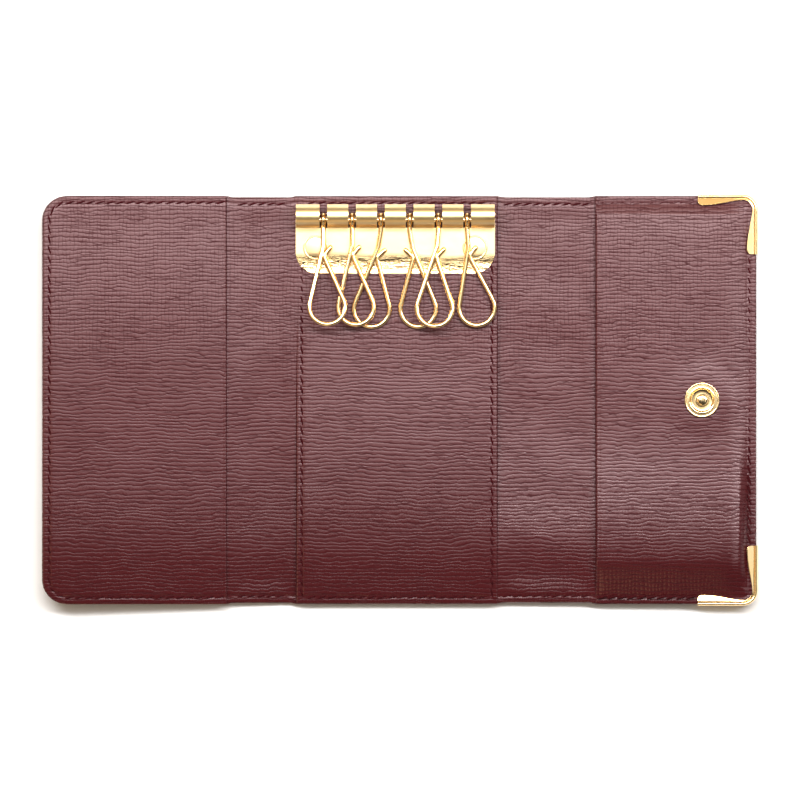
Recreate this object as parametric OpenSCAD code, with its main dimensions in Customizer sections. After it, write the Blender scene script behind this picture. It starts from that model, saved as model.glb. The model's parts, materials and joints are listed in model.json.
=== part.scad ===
// Key case, lying open with its inside up. Millimetres.
// x runs along the open case from the plain panel to the snap panel, y runs up towards the key
// hooks, and z runs up from the surface that the case lies on.

/* [Leather] */
// Height of the case along its creases
case_h = 102; // [94:1:120]
// Width of the plain panel, from its crease to its outer edge
left_panel_w = 46.4; // [42:0.2:49]
// Width of the fold between the plain panel and the centre
left_fold_w = 16.8; // [14:0.2:24]
// Width of the snap panel, from its crease to its outer edge
right_panel_w = 40.5; // [38:0.5:46]
// Thickness of the outer leather
cover_t = 1; // [0.8:0.05:1.4]
// Thickness of the lining leather
lining_t = 0.8; // [0.7:0.05:1.1]
// Thickness of the pocket leather and of the facing under the key plate
facing_t = 0.9; // [0.7:0.05:1.2]
// Thickness of the stiffening board, which the lining is thinned over
board_t = 0.4; // [0.3:0.05:0.5]
// How far the board stays inside the stitched edges
board_inset = 3.5; // [3:0.1:6]
// Radius of the plain panel's two outer corners
left_corner_r = 6.25; // [3:0.25:10]
// How much shorter each fold is at its top and bottom than the panels
fold_step = 0.3; // [0:0.05:1]
// Gap between a crease and the leather sewn on beside it
crease_gap = 0.3; // [0.3:0.05:0.8]

/* [Padded pocket] */
// Flat sewn border round the padding
pad_border = 2.6; // [2.4:0.1:4]
// Width of the slope from the border up to the crown
pad_slope_w = 2.8; // [2:0.1:4]
// Height of the crown above the border
pad_rise = 1.3; // [0.8:0.1:1.9]
// Corner radius of the crown
pad_crown_r = 1.7; // [0.8:0.1:4]

/* [Key plate] */
// Distance from the top edge of the case to the centre of the hook rod
rod_inset = 6; // [5:0.1:12]
// Distance between neighbouring hooks
hook_pitch = 7.18; // [7.18:0.02:8.4]
// Width of each slot in the barrel
slot_w = 1.95; // [1.8:0.05:2.4]
// Length of the barrel outside the first and the last slot
end_knuckle_w = 5.85; // [4.5:0.05:8]
// Outer diameter of the rolled barrel
barrel_d = 5.85; // [5.5:0.05:7]
// How far the barrel's centre lies above the rod
barrel_shift = 0.95; // [0.8:0.05:1.2]
// Thickness of the plate
plate_t = 0.55; // [0.4:0.05:0.6]
// How far the flat plate stands out past each end of the barrel
plate_lip = 0.1; // [0.05:0.05:0.5]
// Distance from the rod down to the plate's lower edge
plate_drop = 13.35; // [12:0.05:16]
// Radius of the plate's two lower corners
plate_corner_r = 5.3; // [2:0.1:8]
// Leather left free at each side of the plate
plate_side = 0.62; // [0.5:0.05:4]
// How far the plate sits to the plain panel's side of the centre
plate_shift = 0.4; // [0:0.05:0.45]
// Angle that the barrel is rolled through
roll_turn = 318; // [300:1:320]

/* [Rivets] */
// Diameter of the rivet heads
rivet_head_d = 6.2; // [5:0.1:7]
// Height of the rivet heads
rivet_head_h = 0.45; // [0.3:0.05:0.5]
// Diameter of the rivet shanks
rivet_d = 2; // [1.5:0.1:2.6]
// Distance of each rivet from the plate's end
rivet_inset = 4.97; // [4:0.05:8]
// Distance of the rivets below the rod
rivet_drop = 7; // [6:0.1:8]
// Diameter of the washers behind the lining
washer_d = 6; // [5:0.1:7]

/* [Hooks] */
// Diameter of the hook wire
wire_d = 1.2; // [1:0.05:1.25]
// Diameter of the rod that the hooks turn on
rod_d = 1.14; // [1:0.02:1.4]
// Running clearance between a hook's eye and the rod, on the radius
eye_fit = 0.05; // [0.02:0.01:0.08]
// Angle that the wire is curled through at the eye
eye_turn = 280; // [260:1:282]
// Straight wire from the eye to where a hook sways aside
eye_run = 2.4; // [2:0.1:3]
// Straight wire from there to the bend of the long leg
shank_l = 3.8; // [3:0.1:5]
// Bend of the long leg away from the shank
leg_bend = 13.4; // [12:0.1:15]
// Straight length of the long leg
leg_l = 14.2; // [11:0.1:14.8]
// Radius of the loop
loop_r = 4.45; // [4.2:0.05:4.5]
// Lean of the short leg towards the shank
side_lean = 24; // [23:0.5:25]
// Straight length of the short leg
side_l = 11.2; // [8:0.1:11.4]
// Radius of the bend at the mouth
mouth_r = 1.5; // [1:0.1:2]
// Bend at the mouth that turns the tip out
mouth_bend = 62; // [40:1:80]
// Straight length of the tip
tip_l = 2.3; // [1:0.1:2.6]
// Air under the loops that lie lowest, above the leather
lie_gap = 0.3; // [0.3:0.05:0.8]
// Air between two wires that cross
stack_gap = 0.12; // [0.1:0.02:0.4]

/* [Snap] */
// Distance from the snap panel's crease to the snap
snap_inset = 26.9; // [22:0.1:30]
// Diameter of the stud's flange
stud_flange_d = 8.6; // [8:0.1:10]
// Height of the stud's flange
stud_flange_h = 0.5; // [0.45:0.05:0.7]
// Diameter of the stud's head
stud_d = 3.15; // [2.8:0.05:3.3]
// Height of the stud above the leather
stud_h = 2.2; // [2.1:0.05:2.25]
// Diameter of the socket
socket_d = 10; // [9.5:0.1:12]
// Height of the socket on the outside of the plain panel
socket_h = 2.3; // [2.2:0.05:3]
// Clearance of the stud in the socket, on the radius
snap_fit = 0.075; // [0.05:0.005:0.1]
// Diameter of the cap on the outside of the snap panel
cap_d = 12; // [10:0.5:14]
// Height of that cap
cap_h = 0.9; // [0.6:0.05:1.2]
// Diameter of the posts that hold the snap halves
post_d = 2.4; // [2:0.1:2.5]
// Air between the two halves when the case is snapped shut
snap_gap = 0.2; // [0.1:0.05:0.5]

/* [Metal corners] */
// Length of each leg of a corner
corner_leg = 15; // [12:0.5:20]
// Thickness of the corner metal
corner_t = 0.4; // [0.3:0.05:0.5]
// Outer radius of the corner
corner_r = 3.75; // [2.5:0.25:6]
// Depth of the flange near the corner
corner_neck = 1.4; // [1:0.1:1.8]
// Depth of the flange near its rounded ends
corner_petal = 2.75; // [2:0.05:2.8]

/* [Hidden] */
$fn = 64;

// Colours
leather = [0.42, 0.19, 0.21];
inner_leather = [0.49, 0.27, 0.28];
board_grey = [0.55, 0.5, 0.45];
foam = [0.9, 0.88, 0.82];
gold = [0.93, 0.76, 0.38];

// Holes stand off a post or rivet by this much, and cuts run this far past what they cut
hole_fit = 0.05;
cut = 1;

// Layers, measured up from the underside of the cover
fold_t = cover_t + lining_t;
facing_top = fold_t + facing_t;
crown_top = facing_top + pad_rise;
plate_top = facing_top + plate_t;

// Key plate: its frame has the rod in y and the facing's top in z
hooks = 6;
wire_r = wire_d / 2;
rod_r = rod_d / 2;
eye_r = rod_r + eye_fit + wire_r;
barrel_r = barrel_d / 2;
rod_z = facing_top + barrel_r - 0.125;
barrel_w = (hooks - 1) * hook_pitch + slot_w + 2 * end_knuckle_w;
plate_w = barrel_w + 2 * plate_lip;
shoulder_y = 0.4;
plug_l = 1;
plug_fit = 0.02;
rivet_x = plate_w / 2 - rivet_inset;
centre_w = plate_w + 2 * plate_side;
rod_y = case_h / 2 - rod_inset;

// Padding under the snap panel's pocket: both faces of the leather follow one arc centre
function arc_r(w, h) = (w * w + h * h) / (2 * h);
pad_outer_r = arc_r(pad_slope_w, pad_rise);
pad_inner_r = pad_outer_r - facing_t;
pad_inner_w = sqrt(pow(pad_inner_r, 2) - pow(pad_inner_r - pad_rise, 2));

// Snap: the right fold is wider by all that lies between the two folded panels
right_fold_w = left_fold_w + fold_t + socket_h + (crown_top - fold_t) + stud_flange_h + snap_gap;
socket_inset = centre_w - snap_inset;
socket_edge_r = 1.1;
socket_face_r = socket_d / 2 - socket_edge_r;
socket_floor = 0.4;
spring_r = 0.25;
spring_ring_r = 1.8;
spring_depth = 0.5;
post_r = post_d / 2;
post_head_r = 3.4;
post_seat = 0.4;
stud_neck_r = 1.3;
stud_round = 0.6;
cap_rim = 0.25;
cap_flat_r = cap_d / 4;

// The case rests on its centre, the socket and the cap, so both sides lie slightly raised
function rest_tilt(reach, drop) =
    atan2(drop + fold_t, reach) - asin(fold_t / norm([reach, drop + fold_t]));
left_tilt = rest_tilt(left_fold_w + socket_inset - socket_face_r, socket_h);
right_tilt = rest_tilt(right_fold_w + snap_inset - cap_flat_r, cap_h);

// Half widths of the case to each side of the centre panel's middle, which set the origin
left_reach = centre_w / 2 + (left_fold_w + left_panel_w) * cos(left_tilt) + fold_t * sin(left_tilt);
right_reach = centre_w / 2 + (right_fold_w + right_panel_w + corner_t) * cos(right_tilt)
    + (fold_t + corner_t) * sin(right_tilt);
centre_x = (right_reach - left_reach) / 2;

// Hooks. The lowest ones point down until they nearly touch the leather or the plate's edge,
// and each one that lies on another is raised until the wires clear where they cross.
// Sway of each hook towards the plain panel, which the loops rest in
hook_sway = [0, 0, 9.5, -9, 5.5, -4.3];
// 1 where a hook opens towards the snap panel, -1 where it opens the other way
hook_hand = [1, 1, 1, -1, 1, 1];
// How many hooks each one lies on
hook_level = [2, 1, 0, 0, 1, 0];
// Distance from the rod to the nearest crossing of two wires on levels 0 and 1, and 1 and 2
cross_1 = 14.6;
cross_2 = 17;
// Radius of the sway and of the long leg's bend
sway_r = 4;
leg_bend_r = 3;
// The bent wire starts this far inside the turned eye, and is this share thinner there
root_overlap = 0.12;
root_share = 0.96;
// Sides of the wire and how far it bends from one ring to the next
wire_sides = 12;
ring_step = 12;
hook_reach = eye_run + shank_l + leg_l + loop_r + 2;
shank_z = rod_z - eye_r;
pitch_drop = min(atan((shank_z - wire_r - lie_gap - facing_top) / hook_reach),
                 atan((shank_z - wire_r - eye_fit - plate_top) / plate_drop));
pitch_1 = asin((wire_d + stack_gap) / cross_1) - pitch_drop;
pitch_2 = asin((wire_d + stack_gap) / cross_2) + pitch_1;
hook_pitches = [-pitch_drop, pitch_1, pitch_2];
// The last hook lies on a rivet head instead
rivet_pitch = atan((plate_top + rivet_head_h + eye_fit + wire_r - shank_z) / rivet_drop);

// ---- frames ----

module centre_frame()
    translate([-centre_x, 0, 0]) children();

// Folds and panels: x runs outwards from the crease, z up from the cover's underside
module left_fold_frame()
    centre_frame() translate([-centre_w / 2, 0, fold_t]) rotate([0, left_tilt, 0])
        mirror([1, 0, 0]) translate([0, 0, -fold_t]) children();

module left_frame()
    left_fold_frame() translate([left_fold_w, 0, 0]) children();

module right_fold_frame()
    centre_frame() translate([centre_w / 2, 0, fold_t]) rotate([0, -right_tilt, 0])
        translate([0, 0, -fold_t]) children();

module right_frame()
    right_fold_frame() translate([right_fold_w, 0, 0]) children();

module plate_frame()
    centre_frame() translate([-plate_shift, rod_y, facing_top]) children();

// ---- shapes that repeat ----

// A strip of leather from x0 to x1, as tall as h
module strip(x0, x1, h, z, t)
    translate([x0, -h / 2, z]) cube([x1 - x0, h, t]);

// The same with its two far corners rounded
module round_strip(x0, x1, h, z, t, r)
    translate([0, 0, z]) linear_extrude(t) {
        translate([x0, -h / 2]) square([x1 - x0 - r, h]);
        translate([x0, r - h / 2]) square([x1 - x0, h - 2 * r]);
        for (side = [-1, 1]) translate([x1 - r, side * (h / 2 - r)]) circle(r);
    }

// A hole for a post of radius r, through everything at x
module post_hole(x, r)
    translate([x, 0, -cut]) cylinder(r = r, h = crown_top + 2 * cut);

// Half section of something that is flat out to r and then falls by h over w along an arc
module rolled_section(r, w, h) {
    if (r > 0) square([r, h]);
    translate([r, 0]) intersection() {
        square([w, h]);
        translate([0, h - arc_r(w, h)]) circle(arc_r(w, h));
    }
}

// A cushion whose crown runs from x0 to x1 and sy in y, with slopes w wide and h high
module pillow(x0, x1, sy, r, w, h) {
    sx = x1 - x0;
    translate([x0 + sx / 2, 0, 0]) {
        translate([-sx / 2, r - sy / 2, 0]) cube([sx, sy - 2 * r, h]);
        translate([r - sx / 2, -sy / 2, 0]) cube([sx - 2 * r, sy, h]);
        for (side = [0, 1]) mirror([side, 0, 0]) translate([sx / 2, sy / 2 - r, 0])
            rotate([90, 0, 0]) linear_extrude(sy - 2 * r) rolled_section(0, w, h);
        for (side = [0, 1]) mirror([0, side, 0]) translate([r - sx / 2, sy / 2, 0])
            rotate([90, 0, 90]) linear_extrude(sx - 2 * r) rolled_section(0, w, h);
        for (mx = [0, 1], my = [0, 1]) mirror([mx, 0, 0]) mirror([0, my, 0])
            translate([sx / 2 - r, sy / 2 - r, 0])
                rotate_extrude(angle = 90) rolled_section(r, w, h);
    }
}

// ---- centre panel ----

module rivet_spots()
    plate_frame() for (side = [-1, 1]) translate([side * rivet_x, -rivet_drop, 0]) children();

module rivet_hole(r)
    rivet_spots() translate([0, 0, -facing_top - cut]) cylinder(r = r, h = facing_top + 2 * cut);

module cover_centre() color(leather)
    centre_frame() strip(-centre_w / 2, centre_w / 2, case_h, 0, cover_t);

module centre_board(grow)
    centre_frame() strip(crease_gap - grow - centre_w / 2, centre_w / 2 - crease_gap + grow,
                         case_h - 2 * board_inset + 2 * grow, cover_t, board_t);

module lining_centre() color(inner_leather) difference() {
    centre_frame() strip(-centre_w / 2, centre_w / 2, case_h, cover_t, lining_t);
    centre_board(0);
    rivet_hole(rivet_d / 2 + hole_fit);
}

module stiffener_centre() color(board_grey) difference() {
    centre_board(0);
    rivet_hole(washer_d / 2 + hole_fit);
}

module hook_facing() color(inner_leather) difference() {
    centre_frame() strip(crease_gap - centre_w / 2, centre_w / 2 - crease_gap, case_h,
                         fold_t, facing_t);
    rivet_hole(rivet_d / 2 + hole_fit);
}

module plate_outline() {
    translate([plate_corner_r - plate_w / 2, -plate_drop])
        square([plate_w - 2 * plate_corner_r, plate_drop]);
    translate([-plate_w / 2, plate_corner_r - plate_drop])
        square([plate_w, plate_drop - plate_corner_r + shoulder_y]);
    for (side = [-1, 1]) translate([side * (plate_w / 2 - plate_corner_r),
                                    plate_corner_r - plate_drop]) circle(plate_corner_r);
    translate([-barrel_w / 2, 0]) square([barrel_w, barrel_shift]);
}

// One sheet, rolled up at its top edge into a barrel and slotted for the hooks' eyes
module key_plate() color(gold) plate_frame() difference() {
    union() {
        linear_extrude(plate_t) plate_outline();
        translate([-barrel_w / 2, barrel_shift, barrel_r]) rotate([90, 0, 90]) rotate([0, 0, -90])
            rotate_extrude(angle = roll_turn)
                translate([barrel_r - plate_t, 0]) square([plate_t, barrel_w]);
    }
    for (i = [0:hooks - 1])
        translate([(i - (hooks - 1) / 2) * hook_pitch - slot_w / 2, barrel_shift - barrel_r, -cut])
            cube([slot_w, barrel_d + cut, barrel_d + 2 * cut]);
    for (side = [-1, 1]) translate([side * rivet_x, -rivet_drop, -cut])
        cylinder(r = rivet_d / 2 + hole_fit, h = plate_t + 2 * cut);
}

// The rod, held by a plug seated in each end of the barrel
module hook_rod() color(gold) plate_frame() rotate([0, 90, 0]) {
    translate([facing_top - rod_z, 0, -barrel_w / 2]) cylinder(r = rod_r, h = barrel_w);
    for (end = [-barrel_w / 2, barrel_w / 2 - plug_l]) translate([-barrel_r, barrel_shift, end])
        cylinder(r = barrel_r - plate_t - plug_fit, h = plug_l);
}

module plate_rivets() color(gold) rivet_spots() {
    translate([0, 0, plate_t]) rotate_extrude() {
        rolled_section(rivet_head_d / 10, rivet_head_d * 0.3, rivet_head_h);
        square([rivet_head_d / 2, rivet_head_h / 3]);
    }
    translate([0, 0, cover_t - facing_top]) cylinder(r = rivet_d / 2, h = facing_t + lining_t + plate_t);
}

module rivet_washers() color(gold) rivet_spots() translate([0, 0, cover_t - facing_top])
    difference() {
        cylinder(r = washer_d / 2, h = board_t);
        translate([0, 0, -cut]) cylinder(r = rivet_d / 2 + hole_fit, h = board_t + 2 * cut);
    }

// ---- hooks ----

// A wire bent in one plane is a list of stretches: [length, 0] runs straight, and
// [radius, angle] bends to the left by that angle, or to the right where it is negative.
// Where the wire is, and which way it points, after a share k of one stretch.
function along(at, stretch, k) =
    let (turn = sign(stretch[1]), out = at[2] - turn * 90 + stretch[1] * k)
    turn == 0
        ? [at[0] + k * stretch[0] * cos(at[2]), at[1] + k * stretch[0] * sin(at[2]), at[2]]
        : [at[0] + stretch[0] * (cos(out) - turn * sin(at[2])),
           at[1] + stretch[0] * (sin(out) + turn * cos(at[2])),
           at[2] + stretch[1] * k];

// Every place along the wire that gets a ring, with one for each ring_step of a bend
function stations(wire) =
    let (starts = [for (i = 0, at = [0, 0, -90]; i < len(wire);
                        at = along(at, wire[i], 1), i = i + 1) at])
    [[0, root_overlap, -90],
     [0, -root_overlap / 4, -90],
     for (i = [0:len(wire) - 1])
         let (n = max(1, ceil(abs(wire[i][1]) / ring_step)))
         for (k = [1:n]) along(starts[i], wire[i], k / n)];

module bent_wire(wire) {
    rings = stations(wire);
    last = len(rings) - 1;
    points = [for (at = rings, k = [0:wire_sides - 1])
        let (r = wire_r * (at[1] > -root_overlap ? root_share : 1), turn = 360 * k / wire_sides)
        [at[0] + r * cos(turn) * sin(at[2]), at[1] - r * cos(turn) * cos(at[2]), r * sin(turn)]];
    walls = [for (i = [0:last - 1], k = [0:wire_sides - 1])
        let (a = i * wire_sides + k, b = i * wire_sides + (k + 1) % wire_sides)
        each [[a, b, b + wire_sides], [a, b + wire_sides, a + wire_sides]]];
    root_end = [for (k = [wire_sides - 1:-1:0]) k];
    tip_end = [for (k = [0:wire_sides - 1]) last * wire_sides + k];
    polyhedron(points, concat(walls, [root_end], [tip_end]));
}

// The stretches of one hook, from its eye to its tip
function hook_wire(sway) = [
    [eye_run, 0],
    if (sway != 0) [sway_r, -sway],
    [shank_l, 0],
    [leg_bend_r, -leg_bend],
    [leg_l, 0],
    [loop_r, 180 + leg_bend + side_lean],
    [side_l, 0],
    [mouth_r, -mouth_bend],
    [tip_l, 0]];

module key_hook(n) color(gold) {
    pitch = n == hooks ? rivet_pitch : hook_pitches[hook_level[n - 1]];
    plate_frame()
        translate([(n - (hooks + 1) / 2) * hook_pitch, 0, rod_z - facing_top]) rotate([-pitch, 0, 0])
            mirror([hook_hand[n - 1] < 0 ? 1 : 0, 0, 0]) {
                rotate([90, 0, 90]) rotate([0, 0, -90])
                    rotate_extrude(angle = eye_turn) translate([eye_r, 0]) circle(wire_r);
                translate([0, 0, -eye_r]) bent_wire(hook_wire(hook_hand[n - 1] * hook_sway[n - 1]));
            }
}

// ---- plain panel and its fold ----

module cover_left_fold() color(leather)
    left_fold_frame() strip(0, left_fold_w, case_h - 2 * fold_step, 0, cover_t);

module lining_left_fold() color(inner_leather)
    left_fold_frame() strip(0, left_fold_w, case_h - 2 * fold_step, cover_t, lining_t);

module left_board()
    strip(crease_gap, left_panel_w - board_inset, case_h - 2 * board_inset, cover_t, board_t);

module cover_left() color(leather) left_frame() difference() {
    round_strip(0, left_panel_w, case_h, 0, cover_t, left_corner_r);
    post_hole(socket_inset, post_r + hole_fit);
}

module lining_left() color(inner_leather) left_frame() difference() {
    round_strip(0, left_panel_w, case_h, cover_t, lining_t, left_corner_r);
    left_board();
}

module stiffener_left() color(board_grey) left_frame() difference() {
    left_board();
    post_hole(socket_inset, post_head_r + hole_fit);
}

module pocket_left() color(inner_leather)
    left_frame() round_strip(crease_gap, left_panel_w, case_h, fold_t, facing_t, left_corner_r);

// Depth is measured into the socket from its face, which looks out of the case
module snap_socket() color(gold) left_frame() translate([socket_inset, 0, 0]) mirror([0, 0, 1])
    rotate_extrude() difference() {
        union() {
            square([socket_d / 2, socket_h - socket_edge_r]);
            square([socket_face_r, socket_h]);
            translate([socket_face_r, socket_h - socket_edge_r]) circle(socket_edge_r);
        }
        translate([-cut, -cut]) square([cut + post_r + hole_fit, socket_h]);
        translate([-cut, socket_floor]) square([cut + stud_d / 2 + snap_fit, socket_h]);
        translate([0, socket_h - spring_depth - spring_r - hole_fit])
            square([spring_ring_r + spring_r + hole_fit, 2 * (spring_r + hole_fit)]);
        translate([-cut, -cut]) square([cut + socket_d, cut]);
        translate([-2 * socket_d, -cut]) square([2 * socket_d, socket_h + 2 * cut]);
    }

module socket_spring() color("silver") left_frame()
    translate([socket_inset, 0, spring_depth - socket_h]) rotate([0, 0, 15])
        rotate_extrude(angle = 330) translate([spring_ring_r, 0]) circle(spring_r);

module socket_post() color("silver") left_frame() translate([socket_inset, 0, 0]) {
    translate([0, 0, cover_t]) cylinder(r = post_head_r, h = board_t);
    translate([0, 0, -socket_floor]) cylinder(r = post_r, h = socket_floor + cover_t);
}

// ---- snap panel and its fold ----

module cover_right_fold() color(leather)
    right_fold_frame() strip(0, right_fold_w, case_h - 2 * fold_step, 0, cover_t);

module lining_right_fold() color(inner_leather)
    right_fold_frame() strip(0, right_fold_w, case_h - 2 * fold_step, cover_t, lining_t);

right_corner_r = corner_r - corner_t;

module right_board()
    strip(crease_gap, right_panel_w - board_inset, case_h - 2 * board_inset, cover_t, board_t);

module cover_right() color(leather) right_frame() difference() {
    round_strip(0, right_panel_w, case_h, 0, cover_t, right_corner_r);
    post_hole(snap_inset, post_r + hole_fit);
}

module lining_right() color(inner_leather) right_frame() difference() {
    round_strip(0, right_panel_w, case_h, cover_t, lining_t, right_corner_r);
    right_board();
    post_hole(snap_inset, post_r + hole_fit);
}

module stiffener_right() color(board_grey) right_frame() difference() {
    right_board();
    post_hole(snap_inset, post_r + hole_fit);
}

// The cushion runs out flat towards the crease, where x0 cuts it off
module snap_cushion(x0, w, z) {
    crown_side = pad_border + pad_slope_w;
    intersection() {
        translate([0, 0, z]) pillow(-pad_slope_w - pad_crown_r - cut, right_panel_w - crown_side,
                                    case_h - 2 * crown_side, pad_crown_r, w, pad_rise);
        strip(x0, right_panel_w, case_h, z, pad_rise);
    }
}

module pocket_padding() color(foam) right_frame() difference() {
    snap_cushion(crease_gap + facing_t, pad_inner_w, fold_t);
    post_hole(snap_inset, post_r + hole_fit);
}

module pocket_right() color(inner_leather) right_frame() difference() {
    union() {
        round_strip(crease_gap, right_panel_w, case_h, fold_t, facing_t, right_corner_r);
        snap_cushion(crease_gap, pad_slope_w, facing_top);
    }
    snap_cushion(crease_gap + facing_t, pad_inner_w, fold_t);
    post_hole(snap_inset, post_r + hole_fit);
}

module snap_stud() color(gold) right_frame() translate([snap_inset, 0, crown_top])
    rotate_extrude() difference() {
        union() {
            square([stud_flange_d / 2 - stud_flange_h / 2, stud_flange_h / 2]);
            translate([stud_flange_d / 2 - stud_flange_h / 2, stud_flange_h / 2])
                circle(stud_flange_h / 2);
            square([stud_flange_d * 0.35, stud_flange_h * 0.9]);
            square([stud_neck_r, stud_h - stud_round]);
            square([stud_d / 2 - stud_round, stud_h]);
            translate([stud_d / 2 - stud_round, stud_h - stud_round]) circle(stud_round);
        }
        translate([-cut, -cut]) square([cut + post_r + hole_fit, cut + post_seat]);
        translate([-2 * stud_d, -cut]) square([2 * stud_d, stud_h + 2 * cut]);
    }

module snap_cap() color(gold) right_frame() translate([snap_inset, 0, 0]) {
    mirror([0, 0, 1]) rotate_extrude() {
        square([cap_d / 2, cap_rim]);
        translate([0, cap_rim]) rolled_section(cap_flat_r, cap_d / 2 - cap_flat_r - cap_rim,
                                               cap_h - cap_rim);
    }
    cylinder(r = post_r, h = crown_top + post_seat);
}

// ---- metal corners ----

// Flange from the corner along one edge: its depth swells towards a rounded end
module petal() {
    end_r = 1.1;
    steps = 10;
    run = corner_leg - end_r - corner_r;
    curve = [for (i = [0:steps]) [corner_r + run * i / steps,
             corner_neck + (corner_petal - corner_neck) * pow(sin(90 * i / steps), 1.5)]];
    polygon(concat([[corner_r, 0]], curve, [[corner_leg - end_r, 0]]));
    translate([corner_leg - end_r, 0]) square([end_r, corner_petal - end_r]);
    translate([corner_leg - end_r, corner_petal - end_r]) intersection() {
        circle(end_r);
        square(end_r);
    }
}

module corner_bend(depth)
    translate([corner_r, corner_r]) intersection() {
        difference() {
            circle(corner_r);
            circle(corner_r - depth);
        }
        translate([-corner_r, -corner_r]) square(corner_r);
    }

module both_legs() {
    children();
    mirror([1, -1]) children();
}

// A channel that holds the leather's edge, made at the origin with its legs along +x and +y
module metal_corner() {
    for (z = [-corner_t, facing_top]) translate([0, 0, z]) linear_extrude(corner_t) {
        both_legs() petal();
        corner_bend(corner_neck);
    }
    linear_extrude(facing_top) {
        both_legs() translate([corner_r, 0]) square([corner_leg - corner_r, corner_t]);
        corner_bend(corner_t);
    }
}

module corner_upper() color(gold) right_frame()
    translate([right_panel_w + corner_t, case_h / 2 + corner_t, 0]) rotate([0, 0, 180]) metal_corner();

module corner_lower() color(gold) right_frame()
    translate([right_panel_w + corner_t, -case_h / 2 - corner_t, 0]) rotate([0, 0, 90]) metal_corner();

cover_centre();
lining_centre();
stiffener_centre();
hook_facing();
key_plate();
hook_rod();
plate_rivets();
rivet_washers();
key_hook(1);  // key_hook_1
key_hook(2);  // key_hook_2
key_hook(3);  // key_hook_3
key_hook(4);  // key_hook_4
key_hook(5);  // key_hook_5
key_hook(6);  // key_hook_6
cover_left_fold();
lining_left_fold();
cover_left();
lining_left();
stiffener_left();
pocket_left();
snap_socket();
socket_spring();
socket_post();
cover_right_fold();
lining_right_fold();
cover_right();
lining_right();
stiffener_right();
pocket_padding();
pocket_right();
snap_stud();
snap_cap();
corner_upper();
corner_lower();
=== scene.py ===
"""Key case, lying open: its leather, stitches, metal, studio and camera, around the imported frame."""

import json
import math
import random

import bpy
import numpy as np
from mathutils import Matrix, Vector


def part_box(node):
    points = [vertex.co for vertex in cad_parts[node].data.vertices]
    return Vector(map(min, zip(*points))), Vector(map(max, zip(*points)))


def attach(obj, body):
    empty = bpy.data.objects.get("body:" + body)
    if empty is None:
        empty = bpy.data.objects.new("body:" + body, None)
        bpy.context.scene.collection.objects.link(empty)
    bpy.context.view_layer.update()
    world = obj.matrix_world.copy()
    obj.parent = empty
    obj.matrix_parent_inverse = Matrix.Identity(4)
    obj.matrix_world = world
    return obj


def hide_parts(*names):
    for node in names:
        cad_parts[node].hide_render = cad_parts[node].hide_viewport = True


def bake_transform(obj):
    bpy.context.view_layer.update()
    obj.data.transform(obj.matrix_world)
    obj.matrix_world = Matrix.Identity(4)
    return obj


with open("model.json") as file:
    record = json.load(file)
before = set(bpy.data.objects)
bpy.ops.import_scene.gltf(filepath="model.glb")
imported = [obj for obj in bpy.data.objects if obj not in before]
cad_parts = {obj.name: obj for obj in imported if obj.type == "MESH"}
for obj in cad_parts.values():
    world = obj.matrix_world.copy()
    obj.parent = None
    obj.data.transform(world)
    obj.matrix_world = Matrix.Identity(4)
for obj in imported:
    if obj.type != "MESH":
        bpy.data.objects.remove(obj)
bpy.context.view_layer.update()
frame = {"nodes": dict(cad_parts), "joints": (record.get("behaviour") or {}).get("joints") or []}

bl_info = {
    "name": "Key Case",
    "version": (1, 0, 0),
    "blender": (4, 5, 0),
    "location": "View3D > Sidebar > Key Case",
    "description": "Dresses a leather key case with grain, stitches, hooks and polished metal",
    "category": "Object",
}

MM = 0.001
JOINTS = {joint["name"]: joint for joint in frame["joints"]}


# ---- where the leather lies ----


def crease(name):
    """A point on the crease that a joint turns about."""
    return Vector(JOINTS[name]["pos_m"])


def smooth(value, low, high):
    """0 below low, 1 above high, and an even ramp with soft ends between them."""
    t = np.clip((np.asarray(value, float) - low) / (high - low), 0, 1)
    return t * t * (3 - 2 * t)


class Side:
    """One side of the case. x runs outwards from its inner crease, and below 0 across the centre."""

    def __init__(self, name, sign, corner_r):
        self.name, self.sign, self.corner_r = name, sign, corner_r
        self.inner, outer = crease(f"{name}_inner_crease"), crease(f"{name}_outer_crease")
        reach = outer - self.inner
        self.fold_w = reach.length
        self.tilt = math.atan2(reach.z, abs(reach.x))
        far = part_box(f"cover_{name}")[1 if sign > 0 else 0].x
        drop = self.inner.z * math.sin(self.tilt)
        self.far = (abs(far - self.inner.x) - drop) / math.cos(self.tilt)

    def place(self, x, y, z):
        """Points in the object's frame for places on this side, with z up from the cover's underside."""
        x, y, z = np.broadcast_arrays(*(np.asarray(v, float) for v in (x, y, z)))
        out, up = np.maximum(x, 0), z - self.inner.z
        c, s = math.cos(self.tilt), math.sin(self.tilt)
        lifted = x > 0
        across = np.minimum(x, 0) + out * c - np.where(lifted, up * s, 0)
        height = np.where(lifted, out * s + up * c, up) + self.inner.z
        return np.stack([self.inner.x + self.sign * across, y, height], -1)

    def flat(self, x, y, z):
        """The same places on the leather before it was folded, in millimetres."""
        x, y, z = np.broadcast_arrays(*(np.asarray(v, float) for v in (x, y, z)))
        return np.stack([self.sign * (CENTRE_W / 2 + x), y, z], -1) / MM


CENTRE_W = crease("right_inner_crease").x - crease("left_inner_crease").x
FOLD_T = crease("left_inner_crease").z
COVER_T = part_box("cover_centre")[1].z
FACING_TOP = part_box("hook_facing")[1].z
HALF_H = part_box("cover_centre")[1].y
FOLD_HALF_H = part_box("cover_left_fold")[1].y
CREASE_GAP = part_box("hook_facing")[0].x - crease("left_inner_crease").x
LEFT = Side("left", -1, 6.25 * MM)
RIGHT = Side("right", 1, 3.35 * MM)


def on_fold(side, x, start, full):
    """1 on a side's fold and 0 off it, rising between two distances in from its creases."""
    return smooth(x, start, full) * (1 - smooth(x, side.fold_w - full, side.fold_w - start))


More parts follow.
